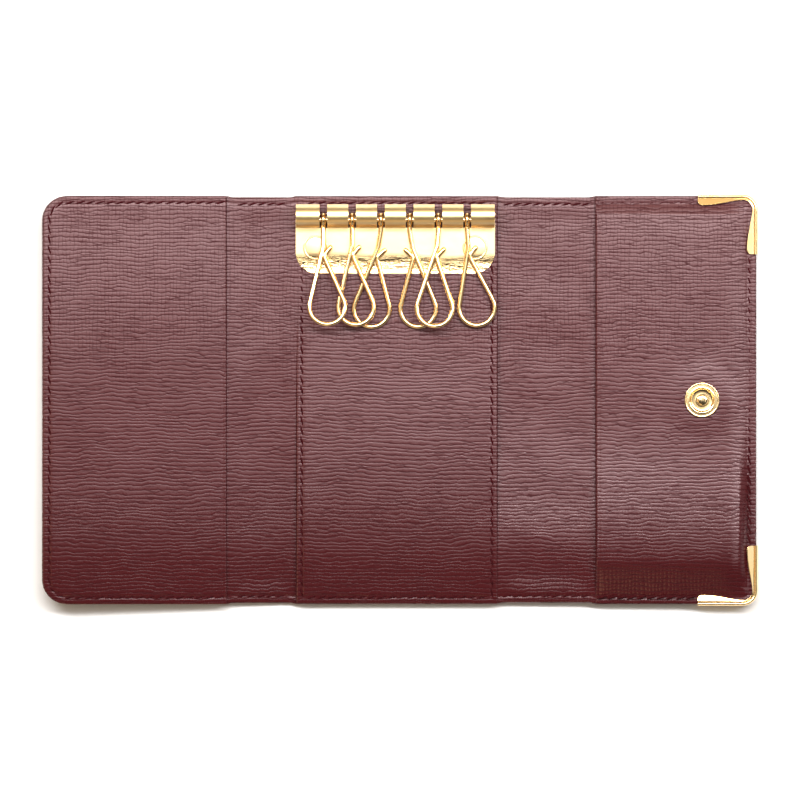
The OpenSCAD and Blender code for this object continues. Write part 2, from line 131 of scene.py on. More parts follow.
def half_height(side, x):
    """Half the height of the case at x: the folds are a little shorter than the panels."""
    return HALF_H + (FOLD_HALF_H - HALF_H) * on_fold(side, x, -0.3 * MM, 1.2 * MM)


# ---- properties ----


def colour_prop(name, description, default):
    """A colour that a user can change."""
    return bpy.props.FloatVectorProperty(
        name=name, description=description, subtype="COLOR", size=3, min=0, max=1, default=default)


def length_prop(name, description, default):
    """A length that a user can change."""
    return bpy.props.FloatProperty(
        name=name, description=description, unit="LENGTH", precision=6, default=default)


def share_prop(name, description, default):
    """A number from 0 to 1 that a user can change."""
    return bpy.props.FloatProperty(
        name=name, description=description, subtype="FACTOR", min=0, max=1, default=default)


def radiance_prop(name, description, default):
    """A strength of light that a user can change."""
    return bpy.props.FloatProperty(name=name, description=description, min=0, default=default)


class LeatherSettings(bpy.types.PropertyGroup):
    """Sizes and colours of the leather."""

    ridge: colour_prop("Ridge colour", "Colour of the leather on the ridges of its grain",
                       (0.060, 0.0064, 0.0080))
    # The groove colour is darker than the ridge colour, partly as painted shade down in the grain
    groove: colour_prop("Groove colour", "Colour of the leather down in its grain", (0.036, 0.0038, 0.0054))
    edge: colour_prop("Edge colour", "Colour of the painted edges", (0.016, 0.009, 0.011))
    grain: length_prop("Grain pitch", "Distance between neighbouring ridges of the grain", 0.97 * MM)
    depth: length_prop("Grain depth", "Depth of the grain", 0.11 * MM)
    roughness: share_prop("Roughness", "Roughness of the ridges", 0.34)
    rounding: length_prop("Edge rounding", "How far the painted edges round inwards", 0.36 * MM)
    turned: length_prop("Turned edge", "Rounding of the pockets' open edges", 0.4 * MM)
    rise: length_prop("Padding rise", "Height of the padded crown above its border", 1.3 * MM)


class StitchSettings(bpy.types.PropertyGroup):
    """Sizes and colour of the sewing."""

    colour: colour_prop("Thread colour", "Colour of the thread", (0.052, 0.0050, 0.0072))
    pitch: length_prop("Stitch length", "Distance from one stitch to the next", 2.5 * MM)
    thread: length_prop("Thread diameter", "Diameter of the thread", 0.46 * MM)
    inset: length_prop("Inset", "Distance from the edge of the case to the stitches", 1.75 * MM)
    slant: bpy.props.FloatProperty(
        name="Slant", description="Angle between each stitch and its row",
        subtype="ANGLE", default=math.radians(17))


class MetalSettings(bpy.types.PropertyGroup):
    """Finish of the metal."""

    gold: colour_prop("Gold colour", "Colour of the plating seen straight on", (1.0, 0.74, 0.39))
    roughness: share_prop("Roughness", "Roughness of the rod, the cap and the socket", 0.10)
    satin: share_prop("Satin roughness", "Roughness of the key plate and its rivets", 0.30)
    wire: length_prop("Wire diameter", "Diameter of the hooks' wire", 1.2 * MM)


class StageSettings(bpy.types.PropertyGroup):
    """Camera and light."""

    height: length_prop("Camera height", "Distance from the leather up to the camera", 2.5)
    view: length_prop("View width", "Width of the picture at the leather", 0.2)
    floor: colour_prop("Floor colour", "Colour of the table", (0.86, 0.86, 0.86))
    key: radiance_prop("Softbox radiance", "Radiance of the bright softbox beyond the hooks", 20.0)
    fill: radiance_prop("Fill radiance", "Radiance that the dim cards above the case are set from", 0.85)
    gilded: colour_prop("Reflector tint", "Colour of the gold reflectors round the case", (1.0, 0.72, 0.42))
    walls: radiance_prop("Wall radiance", "Radiance of the walls round the table", 0.5)
    room: radiance_prop("Ceiling radiance", "Radiance of the ceiling above the lights", 0.05)


SETTINGS = {
    "case_leather": LeatherSettings,
    "case_stitches": StitchSettings,
    "case_metal": MetalSettings,
    "case_stage": StageSettings,
}


# ---- shader building ----


class Value:
    """An output socket. Python's operators add the Math nodes for what they say."""

    def __init__(self, finish, socket):
        self.finish, self.socket = finish, socket

    def __add__(self, other):
        return self.finish.math("ADD", self, other)

    def __sub__(self, other):
        return self.finish.math("SUBTRACT", self, other)

    def __rsub__(self, other):
        return self.finish.math("SUBTRACT", other, self)

    def __mul__(self, other):
        return self.finish.math("MULTIPLY", self, other)

    def __truediv__(self, other):
        return self.finish.math("DIVIDE", self, other)

    def __rtruediv__(self, other):
        return self.finish.math("DIVIDE", other, self)

    __radd__, __rmul__ = __add__, __mul__

    def zigzag(self):
        """0 at each whole number, rising evenly to 0.5 halfway between them."""
        return self.finish.math("PINGPONG", self, 0.5)

    def ramp(self, low, high, kind="SMOOTHSTEP"):
        """0 below low and 1 above high, with soft ends, and the other way round if low is above high."""
        flipped = low > high
        ends = {"From Min": min(low, high), "From Max": max(low, high),
                "To Min": float(flipped), "To Max": float(not flipped)}
        return self.finish.node("MapRange", {"interpolation_type": kind}, {"Value": self, **ends})


class Finish:
    """A material, or the world round the table, that is built node by node."""

    def __init__(self, name, kind="materials"):
        self.owner = getattr(bpy.data, kind).new(name)
        self.owner.use_nodes = True
        self.tree = self.owner.node_tree
        self.tree.nodes.clear()

    def node(self, kind, settings, sockets, output=0):
        """A new node: its settings are set first, and then the values or links of its sockets."""
        made = self.tree.nodes.new("ShaderNode" + kind)
        for key, value in settings.items():
            setattr(made, key, value)
        for key, value in sockets.items():
            if isinstance(value, Value):
                self.tree.links.new(value.socket, made.inputs[key])
            else:
                made.inputs[key].default_value = value
        return Value(self, made.outputs[output]) if made.outputs else None

    def math(self, operation, *values):
        return self.node("Math", {"operation": operation}, dict(enumerate(values)))

    def mix(self, factor, first, second):
        """A colour between two colours."""
        first, second = (c if isinstance(c, Value) else (*c, 1) for c in (first, second))
        return self.node("Mix", {"data_type": "RGBA"}, {0: factor, 6: first, 7: second}, output=2)

    def axis(self, vector, index):
        """One of a vector's three numbers."""
        return self.node("SeparateXYZ", {}, {"Vector": vector}, output=index)

    def noise(self, vector, scale, offset=(0, 0, 0), detail=2.0, roughness=0.5):
        """Soft noise from 0 to 1 on a vector that is scaled by three numbers and then moved."""
        place = self.node("VectorMath", {"operation": "MULTIPLY_ADD"}, {0: vector, 1: scale, 2: offset})
        return self.node("TexNoise", {"noise_dimensions": "3D"},
                         {"Vector": place, "Scale": 1.0, "Detail": detail, "Roughness": roughness})

    def bump(self, height, distance, **sockets):
        """A normal that is tilted by a height from 0 to 1, which stands for a distance in metres."""
        return self.node("Bump", {}, {"Height": height, "Distance": distance, "Strength": 1.0, **sockets})

    def object_place(self):
        """Where a point is on its mesh, in metres."""
        return self.node("TexCoord", {}, {}, output=3)

    def leather_place(self):
        """Where a point of the leather was before folding, in millimetres."""
        return self.node("Attribute", {"attribute_name": "flat"}, {}, output=1)

    def shader(self, **sockets):
        """A Principled shader whose sockets take these values."""
        named = {key.replace("_", " "): value for key, value in sockets.items()}
        if "Specular" in named:
            named["Specular IOR Level"] = named.pop("Specular")
        if not isinstance(named["Base Color"], Value):
            named["Base Color"] = (*named["Base Color"], 1)
        return self.node("BsdfPrincipled", {}, named)

    def blended(self, factor, first, second):
        """A shader between two shaders."""
        return self.node("MixShader", {}, {0: factor, 1: first, 2: second})

    def done(self, shader, output="OutputMaterial"):
        """Ends the nodes with this shader."""
        self.node(output, {}, {"Surface": shader})
        return self.owner

    def surface(self, **sockets):
        """Ends the material with one Principled shader."""
        return self.done(self.shader(**sockets))


def shade(colour, share):
    """A colour taken down, or up, to a share of its strength."""
    return [part * share for part in colour]


def furrows(run, warp, width):
    """Ridges one unit apart along run: their height, which is 0 in the grooves and 1 on the backs and
    rises over a width, and a rounder height that is highest along the middle of each back."""
    wave = (run + warp).zigzag()
    return wave.ramp(0.0, width, "LINEAR"), wave * (1.0 - wave) * 4.0


def make_leather(name):
    """Burgundy leather, with wavy ridges that run across the case and a crossed grain in places."""
    look = bpy.context.scene.case_leather
    f = Finish(name)
    place = f.leather_place()
    x, y = f.axis(place, 0), f.axis(place, 1)
    pitch = look.grain / MM

    # Ridges that run across the case, and in patches others that lean over them
    long_warp = f.noise(place, (0.045, 0.10, 0.1), detail=1.0) * 2.6
    short_warp = f.noise(place, (0.24, 0.36, 0.3), (5, 9, 0), detail=2.0) * 1.6
    patch = f.noise(place, (0.12, 0.22, 0.1), (31, 4, 0), detail=1.0)
    ragged = f.noise(place, (0.9, 0.5, 0.5), (13, 1, 0), detail=1.0) * 0.4
    level, backs = furrows(y / pitch, long_warp + short_warp + ragged, 0.20)
    leaning, _ = furrows(y / (1.31 * pitch) + x * 0.045, long_warp * 0.5 - short_warp * 1.1, 0.15)
    leaning = 1.0 - (1.0 - leaning) * patch.ramp(0.54, 0.47) * 0.9

    # Upright grooves that cross them, mostly near the upper and the lower edge
    ends = y.ramp(-4.0, 24.0) + y.ramp(-34.0, -46.0) * 0.7
    crossing = f.noise(place, (0.06, 0.05, 0.1), (2, 17, 0), detail=1.0) * 0.8 + ends * 0.45
    upright_warp = f.noise(place, (0.26, 0.13, 0.2), (7, 3, 0), detail=2.0) * 1.5
    upright, cells = furrows(x / (0.98 * pitch), upright_warp + ragged * 1.3, 0.19)
    broken = f.noise(place, (0.8, 0.5, 0.3), (19, 8, 0), detail=1.0).ramp(0.36, 0.58)
    crossed = crossing.ramp(0.42, 0.90)
    upright = 1.0 - (1.0 - upright) * crossed * (broken * 0.45 + 0.2)
    height = level * leaning * upright

    # The ridges shine and are smoother towards the lower edge; their colour varies at random, and is darkened
    # towards the lower edge as painted shade
    pores = f.noise(place, (2.4, 3.6, 2.6), detail=2.0, roughness=0.6)
    tint = f.noise(place, (0.035, 0.03, 0.05), (3, 40, 0), detail=2.0)
    tone_and_painted_shade = tint.ramp(0.3, 0.7) * 0.2 + y.ramp(6.0, -46.0) * 0.3
    colour = f.mix(tone_and_painted_shade, look.ridge, shade(look.ridge, 0.7))
    handled = y * 0.0022 + look.roughness - y.ramp(-26.0, -46.0) * 0.05
    worn = f.bump(pores * 0.08 + height * 0.06 + backs * 0.22 + cells * crossed * 0.12, look.depth)
    ridge = f.shader(Base_Color=colour, Roughness=handled + (pores - 0.5) * 0.16, Normal=worn,
                     Specular=0.92, Specular_Tint=(1.0, 0.78, 0.79, 1.0))

    # The grooves are dull, and darker in colour, which is partly painted shade; some of them are shallow
    walls = f.bump(height, look.depth)
    groove = f.shader(Base_Color=look.groove, Roughness=0.62, Normal=walls, Specular=0.12)
    shown = f.noise(place, (0.35, 0.90, 0.3), (11, 23, 0), detail=2.0).ramp(0.36, 0.60) * 0.3 + 0.7
    return f.done(f.blended((1.0 - height) * shown, ridge, groove))


def make_edge(name):
    """Dark paint on the leather's cut edges, a little uneven."""
    look = bpy.context.scene.case_leather
    f = Finish(name)
    uneven = f.noise(f.leather_place(), (0.5, 0.5, 3.0), detail=3.0)
    colour = f.mix(uneven.ramp(0.3, 0.7), look.edge, shade(look.edge, 1.8))
    return f.surface(Base_Color=colour, Roughness=uneven * 0.2 + 0.32,
                     Normal=f.bump(uneven, 0.03 * MM), IOR=1.47)


def make_thread(name):
    """Waxed thread with the fine ridges of its twist."""
    look = bpy.context.scene.case_stitches
    f = Finish(name)
    place = f.leather_place()
    fibres = f.noise(place, (3.0, 3.0, 3.0), detail=3.0)
    ply = ((f.axis(place, 0) + f.axis(place, 1)) * 2.2).zigzag() * 2.0
    colour = f.mix(fibres.ramp(0.3, 0.7), shade(look.colour, 0.55), look.colour)
    return f.surface(Base_Color=colour, Roughness=fibres * 0.2 + 0.65,
                     Normal=f.bump(ply + fibres * 0.5, 0.05 * MM), Specular=0.06)


def make_hole_shade(name):
    """Painted shade inside a needle hole."""
    look = bpy.context.scene.case_stitches
    f = Finish(name)
    uneven = f.noise(f.leather_place(), (2.0, 2.0, 2.0), detail=1.0)
    colour = f.mix(uneven, shade(look.colour, 0.06), shade(look.colour, 0.16))
    return f.surface(Base_Color=colour, Roughness=0.8)


def make_gold(name, roughness, streak=0.0):
    """Polished gold plating with faint handling marks. streak is how strongly the lower edge of the key plate
    is rippled and made smoother, and darkened in mottles as a painted dark reflection."""
    gold = bpy.context.scene.case_metal.gold
    f = Finish(name)
    place = f.object_place()
    marks = f.noise(place, (900, 900, 900), detail=3.0)
    cloud = f.noise(place, (160, 260, 160), detail=2.0)
    pale = gold[0] * 0.97, gold[1] * 0.95, gold[2] * 0.88
    reflected_dark = gold[0] * 0.6, gold[1] * 0.45, gold[2] * 0.3
    colour = f.mix(cloud.ramp(0.3, 0.7), gold, pale)
    rough = marks * 0.06 + (roughness - 0.03)
    height = marks * 0.3
    if streak:
        along = f.noise(place, (40, 10, 10), (3, 0, 0), detail=1.0) * 0.004 + f.axis(place, 1) - 0.002
        ripple = f.noise(place, (300, 900, 100), (0, 0.4, 0), detail=3.0, roughness=0.7)
        dent = along.ramp(0.0312, 0.0326) * along.ramp(0.0366, 0.0334)
        rough = rough - dent * streak * (roughness - 0.12)
        # The mottled darkening along the plate's lower edge is a painted dark reflection
        colour = f.mix(dent * ripple.ramp(0.40, 0.60) * streak * 0.5, colour, reflected_dark)
        height = height - dent * (ripple * 1.2 + 0.4) * 9.0 * streak
    rounded = f.node("Bevel", {"samples": 4}, {"Radius": 0.06 * MM})
    normal = f.bump(height, 0.02 * MM, Normal=rounded)
    return f.surface(Base_Color=colour, Metallic=1.0, Roughness=rough, Normal=normal)


def make_plain(name, colour, roughness, scale, metallic=0.0):
    """A quiet finish for what is hidden: board, foam or steel, with its own grain."""
    f = Finish(name)
    grain = f.noise(f.object_place(), (scale, scale, scale), detail=3.0)
    mottled = f.mix(grain.ramp(0.25, 0.75), shade(colour, 0.8), colour)
    return f.surface(Base_Color=mottled, Metallic=metallic, Roughness=grain * 0.15 + roughness,
                     Normal=f.bump(grain, 0.03 * MM))


def make_table(name):
    """Smooth pale board."""
    look = bpy.context.scene.case_stage
    f = Finish(name)
    grain = f.noise(f.object_place(), (40, 40, 40), detail=2.0)
    colour = f.mix(grain, look.floor, shade(look.floor, 0.995))
    return f.surface(Base_Color=colour, Roughness=0.7, Specular=0.2)


MAKERS = {
    "burgundy_leather": make_leather,
    "edge_paint": make_edge,
    "waxed_thread": make_thread,
    "needle_hole": make_hole_shade,
    "polished_gold": lambda name: make_gold(name, bpy.context.scene.case_metal.roughness),
    "plate_gold": lambda name: make_gold(name, bpy.context.scene.case_metal.satin, 1.0),
    "stud_gold": lambda name: make_gold(name, 0.15),
    "corner_gold": lambda name: make_gold(name, 0.16),
    "wire_gold": lambda name: make_gold(name, 0.17),
    "spring_steel": lambda name: make_plain(name, (0.62, 0.62, 0.60), 0.25, 900, 1.0),
    "grey_board": lambda name: make_plain(name, (0.30, 0.25, 0.20), 0.8, 500),
    "pale_foam": lambda name: make_plain(name, (0.80, 0.77, 0.68), 0.9, 1500),
    "pale_table": make_table,
}


def finish_of(name):
    """The material with this name, made when it is first asked for."""
    return bpy.data.materials.get(name) or MAKERS[name](name)


# ---- meshes ----


def new_piece(name, points, faces, *materials, slots=None, flat=None):
    """A mesh object at the origin.

    slots gives each face's material, and flat where each point was on the unfolded leather. The
    materials are cleared after the slots are set, so every face shows the first of them."""
    mesh = bpy.data.meshes.new(name)
    mesh.from_pydata([tuple(p) for p in points], [], [tuple(map(int, f)) for f in faces])
    mesh.polygons.foreach_set("use_smooth", [True] * len(faces))
    if slots is not None:
        mesh.polygons.foreach_set("material_index", np.asarray(slots, np.int32))
    if flat is not None:
        layer = mesh.attributes.new("flat", "FLOAT_VECTOR", "POINT")
        layer.data.foreach_set("vector", np.asarray(flat, np.float32).ravel())
    mesh.validate()
    mesh.set_sharp_from_angle(angle=math.radians(50))
    obj = bpy.data.objects.new(name, mesh)
    bpy.context.scene.collection.objects.link(obj)
    mesh.materials.clear()
    for material in materials:
        mesh.materials.append(finish_of(material))
    return obj


def steps(length, fine, coarse, rim):
    """Shares from 0 to 1 of a length: fine steps within rim of both ends and coarse ones between."""
    rim = min(rim, length / 2)
    ends = np.linspace(0, rim, max(2, math.ceil(rim / fine) + 1))
    middle = length - 2 * rim
    inner = rim + np.linspace(0, middle, max(2, math.ceil(middle / coarse) + 1))
    return np.concatenate([ends[:-1], inner, (length - ends[::-1])[1:]]) / length


class Slab:
    """A piece of leather from x0 to x1 on one side of the case, and from z0 up to z1.

    near and far are how far its two ends round in, which is 0 where the leather runs on, and rim is
    the same for its long edges. Its far corners have the radius corner_r. lift gives how much higher
    its top is at each place."""

    rings, fine, coarse = 6, 0.3 * MM, 1.0 * MM
    side_rim, end_rim = 4.5 * MM, 7.0 * MM

    def __init__(self, side, x0, x1, z0, z1, near, far, rim, corner_r=0.0, lift=None):
        self.side, self.x0, self.x1, self.z0, self.z1 = side, x0, x1, z0, z1
        self.near, self.far, self.rim, self.corner_r, self.lift = near, far, rim, corner_r, lift
        self.across = steps(x1 - x0, self.fine, self.coarse, self.side_rim)
        self.up = 2 * steps(2 * HALF_H, self.fine, self.coarse, self.end_rim) - 1

    def outline(self, share):
        """The grid of places with the outline drawn in by a share of the rounding."""
        inset = share * self.rim
        h = HALF_H - inset
        r = max(self.corner_r - inset, 0.0)
        y = self.up[:, None] * h
        over = np.clip(np.abs(y) - (h - r), 0, r)
        end = self.x1 - share * self.far - r + np.sqrt(np.maximum(r * r - over * over, 0))
        start = self.x0 + share * self.near
        x = start + (end - start) * self.across[None, :]
        y = np.broadcast_to(y, x.shape) * (half_height(self.side, x) / HALF_H)
        return x, y

    def border(self, grid):
        """The outermost places of a grid, in order round it."""
        return np.concatenate([grid[0, :], grid[1:, -1], grid[-1, -2::-1], grid[-2:0:-1, 0]])

    def build(self, name):
        """The piece: a grid on top, one below, and rings round its edge between them."""
        x, y = self.outline(1.0)
        top = self.z1 + (self.lift(x, y) if self.lift else 0.0 * x)
        low = self.z0 + 0.0 * x
        ny, nx = x.shape
        places = [np.stack([x, y, top], -1).reshape(-1, 3), np.stack([x, y, low], -1).reshape(-1, 3)]
        index = np.arange(nx * ny).reshape(ny, nx)
        quads = np.stack([index[:-1, :-1], index[:-1, 1:], index[1:, 1:], index[1:, :-1]], -1)
        quads = quads.reshape(-1, 4)
        faces, slots = [quads, quads[:, ::-1] + nx * ny], [0] * (2 * len(quads))
        top_edge, low_edge = self.border(top), self.border(low)
        loops = [self.border(index)]
        count = 2 * nx * ny
        for k in range(1, self.rings):
            turn = math.pi * k / self.rings
            ring = [self.border(v) for v in self.outline(1 - math.sin(turn))]
            z = (top_edge + low_edge) / 2 + (top_edge - low_edge) / 2 * math.cos(turn)
            places.append(np.stack([*ring, z], -1))
            loops.append(np.arange(count, count + len(z)))
            count += len(z)
        loops.append(self.border(index) + nx * ny)
        for a, b in zip(loops, loops[1:]):
            faces.append(np.stack([a, b, np.roll(b, -1), np.roll(a, -1)], -1))
            slots += [1] * len(a)
        x, y, z = np.concatenate(places).T
        faces = np.concatenate(faces)
        if self.side.sign < 0:
            faces = faces[:, ::-1]
        return new_piece(name, self.side.place(x, y, z), faces, "burgundy_leather", "edge_paint",
                         slots=slots, flat=self.side.flat(x, y, z))


def edge_distance(side, x, y):
    """How far a place is inside the outline of the case."""
    h, r, far = half_height(side, x), side.corner_r, side.far
    dx, dy = far - x, h - np.abs(y)
    corner = r - np.hypot(np.maximum(r - dx, 0), np.maximum(r - dy, 0))
    return np.where((dx < r) & (dy < r), corner, np.minimum(dx, dy))


def hills(x, y, seed, size, middle, height):
    """Slow hills and hollows, as handling leaves them in leather. They are about as long as size, and
    rise and fall by height round their middle, all in millimetres."""
    draw = random.Random(seed)
    total, waves = 0.0, 5
    for _ in range(waves):
        a, phase = draw.uniform(0, math.tau), draw.uniform(0, math.tau)
        k = math.tau / (size * MM * draw.uniform(0.7, 1.5))
        total = total + np.sin(k * (x * math.cos(a) + y * math.sin(a)) + phase)
    return middle * MM + height * MM * (total / waves)


def groove(distance, depth, at, width):
    """A soft groove that is deepest at one distance from an edge."""
    return -depth * MM * np.exp(-(((distance - at) / (width * MM)) ** 2))


def sewn(distance):
    """How the leather is drawn down along a row of stitches, and outside it."""
    inset = bpy.context.scene.case_stitches.inset
    margin = -0.06 * MM * (1 - smooth(distance, 0, inset))
    return groove(distance, 0.13, inset, 0.42) + margin


def shoulder(inside, start, run, power):
    """0 as far in as start, and 1 from run further in. A higher power makes it rise sooner."""
    return 1 - (1 - np.clip((inside - start) / run, 0, 1)) ** power


def fall(y, lowest, *slopes):
    """Height of leather that slopes up and down the case. lowest is its height at the lower edge.

    slopes are pairs of a place, in millimetres up from the middle of the case, and an angle in
    degrees, which is negative where the leather falls towards the lower edge."""
    places, angles = zip(*slopes)
    fine = np.linspace(places[0], places[-1], 400)
    steep = np.tan(np.radians(np.interp(fine, places, angles)))
    height = -np.concatenate([[0], np.cumsum((steep[1:] + steep[:-1]) / 2 * np.diff(fine))])
    return lowest * MM + MM * (np.interp(np.asarray(y, float) / MM, fine, height))


SLOPES = {
    "left": (-0.75, (-52, -4.2), (-44, -3.6), (-34, -1.4), (-22, -0.8), (-8, -1.7), (8, -1.7),
             (24, -0.4), (42, 0.8), (52, 0.8)),
    "centre": (-0.40, (-52, -4.6), (-44, -4.0), (-34, -1.3), (-22, 0.4), (8, 0.7), (27, 0.4),
               (30, 0.0), (52, 0.0)),
    "right": (0.2, (-52, -4.0), (-46, -3.2), (-40, -1.2), (-34, 1.4), (-28, 3.2), (-18, 3.5),
              (-8, 1.2), (4, 0.0), (20, -0.6), (34, 0.2), (52, 0.8)),
}
FOLD_SHARE = 0.8
FOLD_RISE = {"left": 0.0, "right": 0.17 * MM}


def slope(body, y):
    """How high a body's leather lies along its length. A fold falls away less than its panel."""
    side, part = body.split("_")
    height = fall(y, *SLOPES[side])
    return height * FOLD_SHARE + FOLD_RISE[side] if part == "fold" else height


def plain_lift(x, y):
    """Top of the plain pocket: sewn round its edge, a crease line along its opening, slow hills."""
    d = edge_distance(LEFT, x, y)
    line = groove(x - LEFT.fold_w - CREASE_GAP, 0.10, 0.95 * MM, 0.16)
    relief = hills(x, y, 3, 46, -0.08, 0.16) * smooth(d, 1.5 * MM, 9 * MM)
    return sewn(d) + line + slope("left_panel", y) + relief


def fold_lift(side, seed):
    """Top of the lining: soft waves on the folds, and clear of the pocket that lies on it."""
    def lift(x, y):
        d = half_height(side, x) - np.abs(y)
        waves = hills(x, y, seed, 24, -0.16, 0.16) * on_fold(side, x, 0.8 * MM, 4 * MM)
        covered = smooth(x, side.fold_w + 0.5 * MM, side.fold_w + 3 * MM)
        height = slope(f"{side.name}_fold", y) - covered * FOLD_RISE[side.name]
        return sewn(d) + height + waves * smooth(d, 2 * MM, 7 * MM)
    return lift


def facing_lift(x, y):
    """Top of the facing: sewn all round, and flat under the key plate, with slow hills below it."""
    half_w = CENTRE_W / 2
    d = np.minimum(HALF_H - np.abs(y), half_w - CREASE_GAP - np.abs(x + half_w) + 0.3 * MM)
    relief = hills(x, y, 11, 40, -0.06, 0.12) * smooth(-y, -24 * MM, -10 * MM)
    return sewn(d) + slope("centre_panel", y) + relief * smooth(d, 1.5 * MM, 8 * MM)


def stud_place():
    """Where the stud stands on the snap panel."""
    low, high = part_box("snap_stud")
    middle = (low + high) / 2 - RIGHT.inner
    return (middle.x + middle.z * math.sin(RIGHT.tilt)) / math.cos(RIGHT.tilt), 0.0


def padding_lift(x, y):
    """Top of the padded pocket: a crown with a sewn border, and less relief round the stud."""
    d = edge_distance(RIGHT, x, y)
    from_side, from_top, from_foot = RIGHT.far - x, HALF_H - y, HALF_H + y
    crown = (bpy.context.scene.case_leather.rise
             * shoulder(from_side, 2.3 * MM, 5.5 * MM, 2.2)
             * shoulder(from_top, 2.2 * MM, 2.6 * MM, 1.25)
             * shoulder(from_foot, 2.0 * MM, 8.5 * MM, 1.25))
    stud_x, stud_y = stud_place()
    away = smooth(np.hypot(x - stud_x, y - stud_y), 4 * MM, 11 * MM)
    inside = np.minimum(from_side, HALF_H - np.abs(y)) - 2.5 * MM
    relief = hills(x, y, 21, 34, 0.10, 0.12) * away * smooth(inside, 2 * MM, 7 * MM)
    line = groove(x - RIGHT.fold_w - CREASE_GAP, 0.12, 1.0 * MM, 0.2)
    raised = smooth(d, 1.8 * MM, 4.5 * MM) * smooth(from_foot, 0.5 * MM, 11 * MM)
    return (sewn(d) + crown + line + relief
            + slope("right_panel", y) * raised * (0.3 + 0.7 * away) - 0.3 * MM * (1 - raised))


# ---- operators ----


class CASE_OT_skins(bpy.types.Operator):
    """Makes the outer leather and the lining, which bend at the creases."""

    bl_idname = "keycase.skins"
    bl_label = "Cover and Lining"

    layers = (("cover", 0.0, COVER_T), ("lining", COVER_T, FOLD_T))
    seeds = {"left": 5, "right": 8}
    bend_start, bend_end = -1.2 * MM, 0.8 * MM

    def execute(self, context):
        edge = context.scene.case_leather.rounding
        for side in (LEFT, RIGHT):
            panel, fold = f"{side.name}_panel", f"{side.name}_fold"
            middle = side.fold_w / 2
            for layer, z0, z1 in self.layers:
                lift = fold_lift(side, self.seeds[side.name]) if layer == "lining" else None
                outer = Slab(side, middle, side.far, z0, z1, 0.0, edge, edge, side.corner_r, lift)
                inner = Slab(side, -CENTRE_W / 2, middle, z0, z1, 0.0, 0.0, edge, lift=lift)
                wide = outer.build(f"{layer}_{side.name}_skin")
                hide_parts(f"{layer}_{side.name}")
                self.bend(wide, side, side.fold_w, fold, panel)
                slim = inner.build(f"{layer}_{side.name}_bend")
                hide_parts(f"{layer}_{side.name}_fold")
                if side is LEFT:
                    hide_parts(f"{layer}_centre")
                self.bend(slim, side, 0.0, "centre_panel", fold)
        return {"FINISHED"}

    def bend(self, piece, side, at, inner, outer):
        """Bakes a piece's transform into its mesh."""
        start, end = (Vector(side.place(at + d, 0, FOLD_T)) for d in (self.bend_start, self.bend_end))
        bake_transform(piece)


class CASE_OT_pockets(bpy.types.Operator):
    """Makes the plain pocket and the facing under the key plate."""

    bl_idname = "keycase.pockets"
    bl_label = "Pocket and Facing"

    def execute(self, context):
        look = context.scene.case_leather
        edge, turned = look.rounding, look.turned
        pocket = Slab(LEFT, LEFT.fold_w + CREASE_GAP, LEFT.far, FOLD_T, FACING_TOP, turned, edge, edge,
                      LEFT.corner_r, plain_lift).build("plain_pocket")
        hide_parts("pocket_left")
        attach(pocket, "left_panel")
        facing = Slab(RIGHT, CREASE_GAP - CENTRE_W, -CREASE_GAP, FOLD_T, FACING_TOP, turned, turned,
                      edge, lift=facing_lift).build("sewn_facing")
        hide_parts("hook_facing")
        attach(facing, "centre_panel")
        return {"FINISHED"}


class CASE_OT_padding(bpy.types.Operator):
    """Makes the padded pocket that carries the stud."""

    bl_idname = "keycase.padding"
    bl_label = "Padded Pocket"

    opening_round = 0.6 * MM

    def execute(self, context):
        edge = context.scene.case_leather.rounding
        pocket = Slab(RIGHT, RIGHT.fold_w + CREASE_GAP, RIGHT.far, FOLD_T, FACING_TOP,
                      self.opening_round, edge, edge, RIGHT.corner_r, padding_lift).build("padded_pocket")
        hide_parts("pocket_right", "pocket_padding")
        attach(pocket, "right_panel")
        return {"FINISHED"}


class Face:
    """One face of the leather that stitches lie on.

    height gives how high it is at a place, out is 1 or -1 for which way is out of it, and turn is
    which way its stitches slant."""

    def __init__(self, height, out, turn):
        self.height, self.out, self.turn = height, out, turn


def seam_stitches(path, face):
    """Tubes for stitches along a path of (x, y) places on a face, with dark lenses of painted shade for their
    holes.
    """
    look = bpy.context.scene.case_stitches
    path = np.asarray(path, float)
    lengths = np.concatenate([[0], np.cumsum(np.linalg.norm(np.diff(path, axis=0), axis=1))])
    count = max(1, round(lengths[-1] / look.pitch))
    pitch = lengths[-1] / count
    reach, probe, wobble = pitch * 0.43, 0.2 * MM, 0.06
    sunk, arched, slim = -0.24 * MM, 0.30 * MM, 0.55
    sides, rings = 8, 7
    points, faces, slots = [], [], []
    draw = random.Random(round(lengths[-1] / MM * 100))

    def place(distance):
        return np.array([np.interp(distance, lengths, path[:, i]) for i in (0, 1)])

    for k in range(count):
        middle = (k + 0.5) * pitch
        centre, along = place(middle), place(middle + probe) - place(middle - probe)
        along = along / np.linalg.norm(along)
        turn = look.slant * face.turn + draw.uniform(-wobble, wobble)
        c, s = math.cos(turn), math.sin(turn)
        along = np.array([along[0] * c - along[1] * s, along[0] * s + along[1] * c])
        aside = np.array([-along[1], along[0]])
        base = len(points)
        for i in range(rings):
            t = 2 * i / (rings - 1) - 1
            arch = math.sqrt(max(0.0, 1 - t * t * 0.96))
            r = look.thread / 2 * (slim + (1 - slim) * arch)
            at = centre + along * reach * t
            z = face.height(*at) + face.out * (sunk + arched * arch)
            for j in range(sides):
                a = math.tau * j / sides
                points.append((*(at + aside * r * math.cos(a)), z + face.out * r * math.sin(a)))
        tube_faces = tube_quads(rings, sides)
        faces += [tuple(base + i for i in q) for q in tube_faces]
        slots += [0] * len(tube_faces)
        for end in (-1, 1):
            add_hole_shade(points, faces, slots, centre + along * reach * end * 1.02, along, aside, face,
                     look.thread)
    return points, faces, slots


